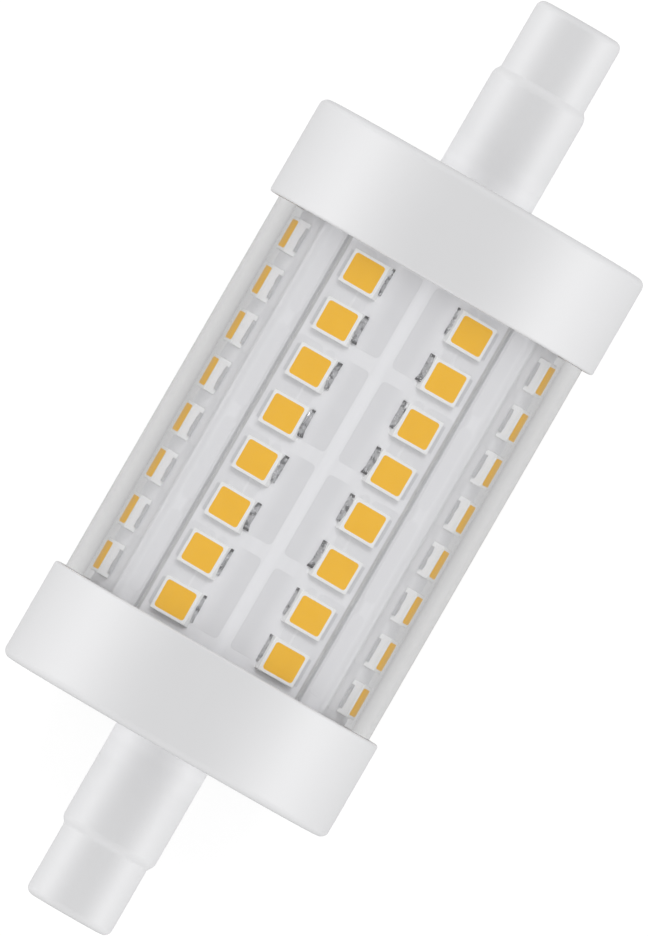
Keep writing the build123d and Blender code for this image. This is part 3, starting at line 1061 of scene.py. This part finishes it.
class LEDBULB_OT_stage(bpy.types.Operator):
    """Set the floor, the soft light and the camera"""

    bl_idname = "led_bulb.stage"
    bl_label = "Stage"

    def floor(self, stage):
        """Pale floor under the caps, glowing white to the camera, and glowing in gloss and through the tube with
        dark strips beside the lamp, a painted reflection.
        """
        bm = bmesh.new()
        bmesh.ops.create_grid(bm, x_segments=1, y_segments=1, size=stage.floor_size)
        bmesh.ops.translate(bm, vec=(0, 0, -cap_radius), verts=bm.verts)
        look = new_look("floor_paper")
        grey = (stage.floor_shade,) * 3
        paper = look.principled(
            base_color=look.vary(look.noise(3 * MM), grey, 0.97, 1.03),
            roughness=0.9,
            specular_ior_level=0.0,
        )
        shown = paper
        # Painted reflection: glow strips seen only in gloss and through the tube, pale next to the lamp and dark
        # further out
        strips = ((0.17, 0.68), (0.27, 0.53), (0.38, 0.10), (0.62, 0.10), (1.0, 0.53))
        reflected_glow_strips = look.ramp(look.off("Y", 100 * MM), *strips)
        shares = {
            "Is Glossy Ray": (reflected_glow_strips, stage.floor_mirrored),
            "Is Transmission Ray": (reflected_glow_strips, stage.floor_through),
            "Is Camera Ray": ((1, 1, 1, 1), stage.floor_share),
        }
        for ray, (tone, strength) in shares.items():
            glow = look.node("ShaderNodeEmission", sockets={"Color": tone, "Strength": strength})
            lit = look.node("ShaderNodeAddShader", sockets={0: paper, 1: glow})
            shown = look.for_rays(ray, shown, lit)
        floor = placed("floor", mesh_of(bm, "floor"))
        floor.data.materials.append(look.surface(shown))

    def sky(self, scene, stage):
        """Even light from all round, white to the camera."""
        scene.world = bpy.data.worlds.new("studio")
        look = Graph(scene.world)

        def glow(strength):
            """White sky of some strength."""
            return look.node("ShaderNodeBackground", sockets={"Color": (1, 1, 1, 1), "Strength": strength})

        shown = glow(stage.sky)
        skies = {"Is Glossy Ray": stage.gloss_sky, "Is Transmission Ray": stage.through_sky, "Is Camera Ray": 1.0}
        for ray, strength in skies.items():
            shown = look.for_rays(ray, shown, glow(strength))
        look.surface(shown, "World")

    def light_list(self, name, pieces, state):
        """Collection that lets a lamp light only these pieces, or all but these."""
        listed = bpy.data.collections.new(name)
        for piece in pieces:
            listed.objects.link(bpy.data.objects[piece])
        for entry in listed.collection_objects:
            entry.light_linking.link_state = state
        return listed

    def softbox(self, name, power, size, place, receivers, blockers):
        """Soft lamp of some width and height, which the camera doesn't see."""
        light = bpy.data.lights.new(name, "AREA")
        light.shape = "RECTANGLE"
        light.size, light.size_y = size
        light.energy = power
        lamp = placed(name, light)
        lamp.matrix_world = place
        lamp.visible_camera = False
        lamp.light_linking.receiver_collection = receivers
        lamp.light_linking.blocker_collection = blockers
        return lamp

    def side_lamps(self, stage):
        """Softboxes round the lamp for its caps, and a glow from the floor for its side faces."""
        caps = self.light_list("caps_lit_from_the_sides", CAPS, "INCLUDE")
        sides = self.light_list("faces_lit_from_the_sides", SIDES, "INCLUDE")
        through = self.light_list("floor_does_not_shade", ("floor",), "EXCLUDE")
        side = (stage.side_power, stage.side_height, stage.side_lift, caps)
        end = (stage.end_power, stage.end_height, stage.end_lift, caps)
        glow = (stage.glow_power, stage.side_height, -stage.glow_drop, sides)
        softboxes = {
            "rear_softbox": (0, side),
            "left_softbox": (1, end),
            "front_softbox": (2, side),
            "right_softbox": (3, end),
            "rear_floor_glow": (0, glow),
            "front_floor_glow": (2, glow),
        }
        facing = Matrix.Rotation(-pi / 2, 4, "X")
        for name, (quarter, (power, height, lift, lit)) in softboxes.items():
            outwards = Matrix.Translation((0, stage.side_distance, lift))
            place = Matrix.Rotation(quarter * pi / 2, 4, "Z") @ outwards @ facing
            self.softbox(name, power, (stage.side_length, height), place, lit, through)

    def key_lamp(self, stage):
        """Overhead lamp for all but the caps, which leans to the right."""
        spared = self.light_list("caps_not_lit_from_above", CAPS, "EXCLUDE")
        tilted = Matrix.Rotation(stage.key_tilt, 4, "Y")
        place = tilted @ Matrix.Translation((0, 0, stage.key_distance))
        size = (stage.key_size,) * 2
        lamp = self.softbox("key_softbox", stage.key_power, size, place, spared, spared)
        lamp.visible_glossy = False

    def camera(self, scene, stage):
        """Camera straight above the lamp, which leans in the picture."""
        data = bpy.data.cameras.new("camera")
        data.lens = stage.lens
        data.sensor_width = stage.sensor
        distance = stage.picture_height * stage.lens / stage.sensor
        data.clip_end = 3 * distance
        turned = Matrix.Rotation(stage.lean - pi / 2, 4, "Z")
        scene.camera = placed("camera", data)
        scene.camera.matrix_world = Matrix.Translation((0, 0, distance)) @ turned

    def execute(self, context):
        scene = context.scene
        stage = scene.led_bulb_stage
        scene.view_settings.view_transform = "Standard"
        self.floor(stage)
        self.sky(scene, stage)
        self.side_lamps(stage)
        self.key_lamp(stage)
        self.camera(scene, stage)
        return {"FINISHED"}


OPERATORS = (
    LEDBULB_OT_end_caps,
    LEDBULB_OT_end_contacts,
    LEDBULB_OT_clear_tube,
    LEDBULB_OT_led_boards,
    LEDBULB_OT_copper_lands,
    LEDBULB_OT_leds,
    LEDBULB_OT_inner_parts,
    LEDBULB_OT_stage,
)


class LEDBULB_PT_build(bpy.types.Panel):
    """Sidebar panel that lists the steps of the build"""

    bl_idname = "LEDBULB_PT_build"
    bl_label = "Linear LED Bulb"
    bl_space_type = "VIEW_3D"
    bl_region_type = "UI"
    bl_category = "LED Bulb"

    def draw(self, context):
        column = self.layout.column()
        for operator in OPERATORS:
            column.operator(operator.bl_idname)


CLASSES = (*GROUPS.values(), *OPERATORS, LEDBULB_PT_build)


def register():
    """Register the classes, and hang the settings on the scene."""
    for cls in CLASSES:
        bpy.utils.register_class(cls)
    for name, group in GROUPS.items():
        setattr(bpy.types.Scene, name, PointerProperty(type=group))


def unregister():
    """Take the settings off the scene and unregister the classes."""
    for name in GROUPS:
        delattr(bpy.types.Scene, name)
    for cls in reversed(CLASSES):
        bpy.utils.unregister_class(cls)


def main():
    """Build the lamp and its stage."""
    register()
    bpy.ops.led_bulb.end_caps()
    bpy.ops.led_bulb.end_contacts()
    bpy.ops.led_bulb.clear_tube()
    bpy.ops.led_bulb.led_boards()
    bpy.ops.led_bulb.copper_lands()
    bpy.ops.led_bulb.leds()
    bpy.ops.led_bulb.inner_parts()
    bpy.ops.led_bulb.stage()


if __name__ == "__main__":
    main()
